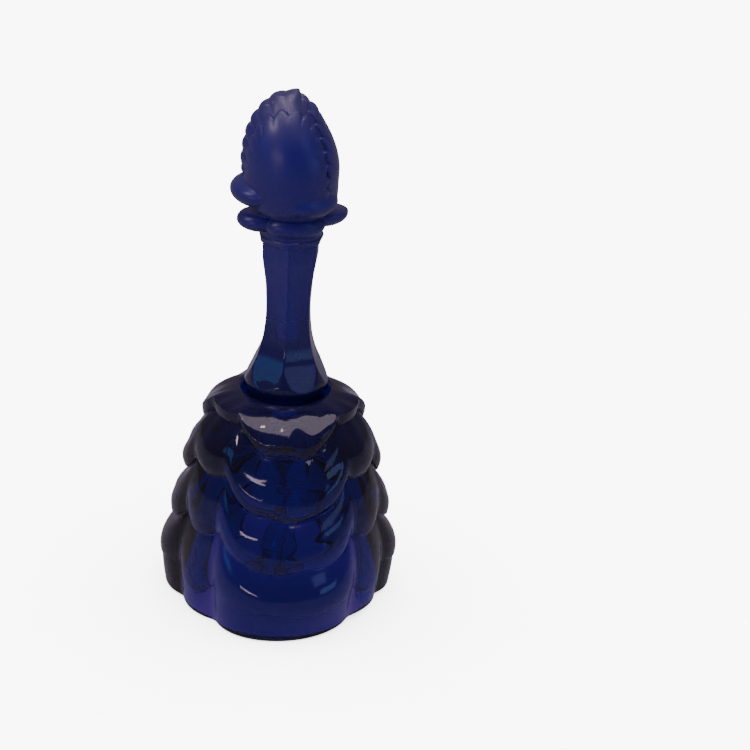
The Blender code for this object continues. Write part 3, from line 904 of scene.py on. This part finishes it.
def make_stage():
    """A white sweep with a painted shadow round the bell: the camera sees it overexposed, but the
    glass sees a dim table top.

    From below it is clear, so that the bell's inside and its clapper can be looked at.
    """
    bpy.ops.mesh.primitive_plane_add(size=8.0, location=(0, 0, -0.0002))
    floor = bpy.context.object
    floor.name = "floor"
    material, nodes, links = node_material("floor_pale")
    table = nodes["Principled BSDF"]
    table.inputs["Base Color"].default_value = (0.22, 0.21, 0.24, 1.0)
    table.inputs["Roughness"].default_value = 0.8
    # Painted shadow: the white the camera sees is dimmed by ambient occlusion round the bell, down
    # to CONTACT_SHADE under the rim
    contact = nodes.new("ShaderNodeAmbientOcclusion")
    contact.inputs["Distance"].default_value = 0.10
    contact.samples = 16
    # Painted light: the table top glows faintly for the glass, in place of the light that would
    # pass through the glass into the bell's inside
    table.inputs["Emission Color"].default_value = (0.80, 0.74, 1.0, 1.0)
    table.inputs["Emission Strength"].default_value = 0.19
    glow = nodes.new("ShaderNodeEmission")
    open_share = contact.outputs["AO"]
    white_with_painted_shadow = map_range(nodes, links, open_share, (0.0, 1.0), (CONTACT_SHADE, WHITE))
    links.new(white_with_painted_shadow, glow.inputs["Strength"])
    top = seen_by_camera(nodes, links, table.outputs["BSDF"], glow.outputs["Emission"])
    side = nodes.new("ShaderNodeNewGeometry")
    clear = nodes.new("ShaderNodeBsdfTransparent")
    surface = choose_shader(nodes, links, side.outputs["Backfacing"], top, clear.outputs["BSDF"])
    links.new(surface, nodes["Material Output"].inputs["Surface"])
    floor.data.materials.append(material)


def area_light(name, location, size, radiance, colour):
    """A soft lamp; radiance is how bright it looks in a mirror."""
    data = bpy.data.lights.new(name, "AREA")
    data.shape = "RECTANGLE"
    data.size, data.size_y = size
    data.energy = radiance * pi * size[0] * size[1]
    data.color = colour
    lamp = link_to_scene(bpy.data.objects.new(name, data))
    lamp.location = location
    way = Vector(LAMP_AIM) - Vector(location)
    lamp.rotation_euler = way.to_track_quat("-Z", "Y").to_euler()


def make_world():
    """A dim, slightly pink room that the camera sees as white."""
    world = bpy.data.worlds.new("studio")
    world.use_nodes = True
    nodes, links = world.node_tree.nodes, world.node_tree.links
    room = nodes["Background"]
    room.inputs["Color"].default_value = (0.95, 0.78, 1.0, 1.0)
    room.inputs["Strength"].default_value = 0.17
    white = nodes.new("ShaderNodeBackground")
    white.inputs["Color"].default_value = (1.0, 1.0, 1.0, 1.0)
    white.inputs["Strength"].default_value = WHITE
    surface = seen_by_camera(nodes, links, room.outputs["Background"], white.outputs["Background"])
    links.new(surface, nodes["World Output"].inputs["Surface"])
    bpy.context.scene.world = world


def make_camera():
    """The camera: a little to the left, looking down and slightly rolled."""
    data = bpy.data.cameras.new("camera")
    camera = link_to_scene(bpy.data.objects.new("camera", data))
    turn, tilt = CAMERA_TURN, CAMERA_TILT
    aim = Vector((0.0, AXIS_BACK * MM, CAMERA_AIM))
    back = Vector((sin(turn) * cos(tilt), -cos(turn) * cos(tilt), sin(tilt)))
    camera.location = aim + back * CAMERA_DISTANCE
    look = (-back).to_track_quat("-Z", "Y")
    camera.rotation_mode = "QUATERNION"
    camera.rotation_quaternion = look @ Matrix.Rotation(CAMERA_ROLL, 4, "Z").to_quaternion()
    data.sensor_width = SENSOR_WIDTH
    data.lens = LENS
    data.shift_x, data.shift_y = CAMERA_SHIFT
    bpy.context.scene.camera = camera


# ------------------------------------------------------------------ build

def dress(obj, body, material, slot, *nodes):
    """A visible piece: its material, the body it rides and the CAD nodes it stands for."""
    obj.data.materials.append(material)
    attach(obj, body)
    if nodes:
        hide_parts(*nodes)


cobalt = cobalt_material("cobalt_glass", FROSTING, COBALT_DENSITY)
bead_glass = cobalt_material("bead_glass", NO_FROSTING, BEAD_DENSITY)
plaster = plaster_material("crown_plaster")
plated = plated_material("plated_wire")

dress(make_glass(), "root", cobalt, "cobalt_glass", "glass_bell")
dress(make_plug(), "root", plaster, "crown_plaster", "crown_plug")
dress(make_eye(), "root", plated, "plated_wire", "hanger_eye")
for number in range(1, LINKS + 1):
    dress(make_link(number), "link_%d" % number, plated, "plated_wire", "chain_link_%d" % number)
pin_wire, pin_stop = make_pin()
dress(pin_wire, "clapper", plated, "plated_wire", "clapper_pin")
dress(pin_stop, "clapper", plated, "plated_wire")
dress(make_bead(), "bead", bead_glass, "bead_glass", "clapper_bead")

make_stage()
make_world()
for lamp in LAMPS:
    area_light(*lamp)
make_camera()
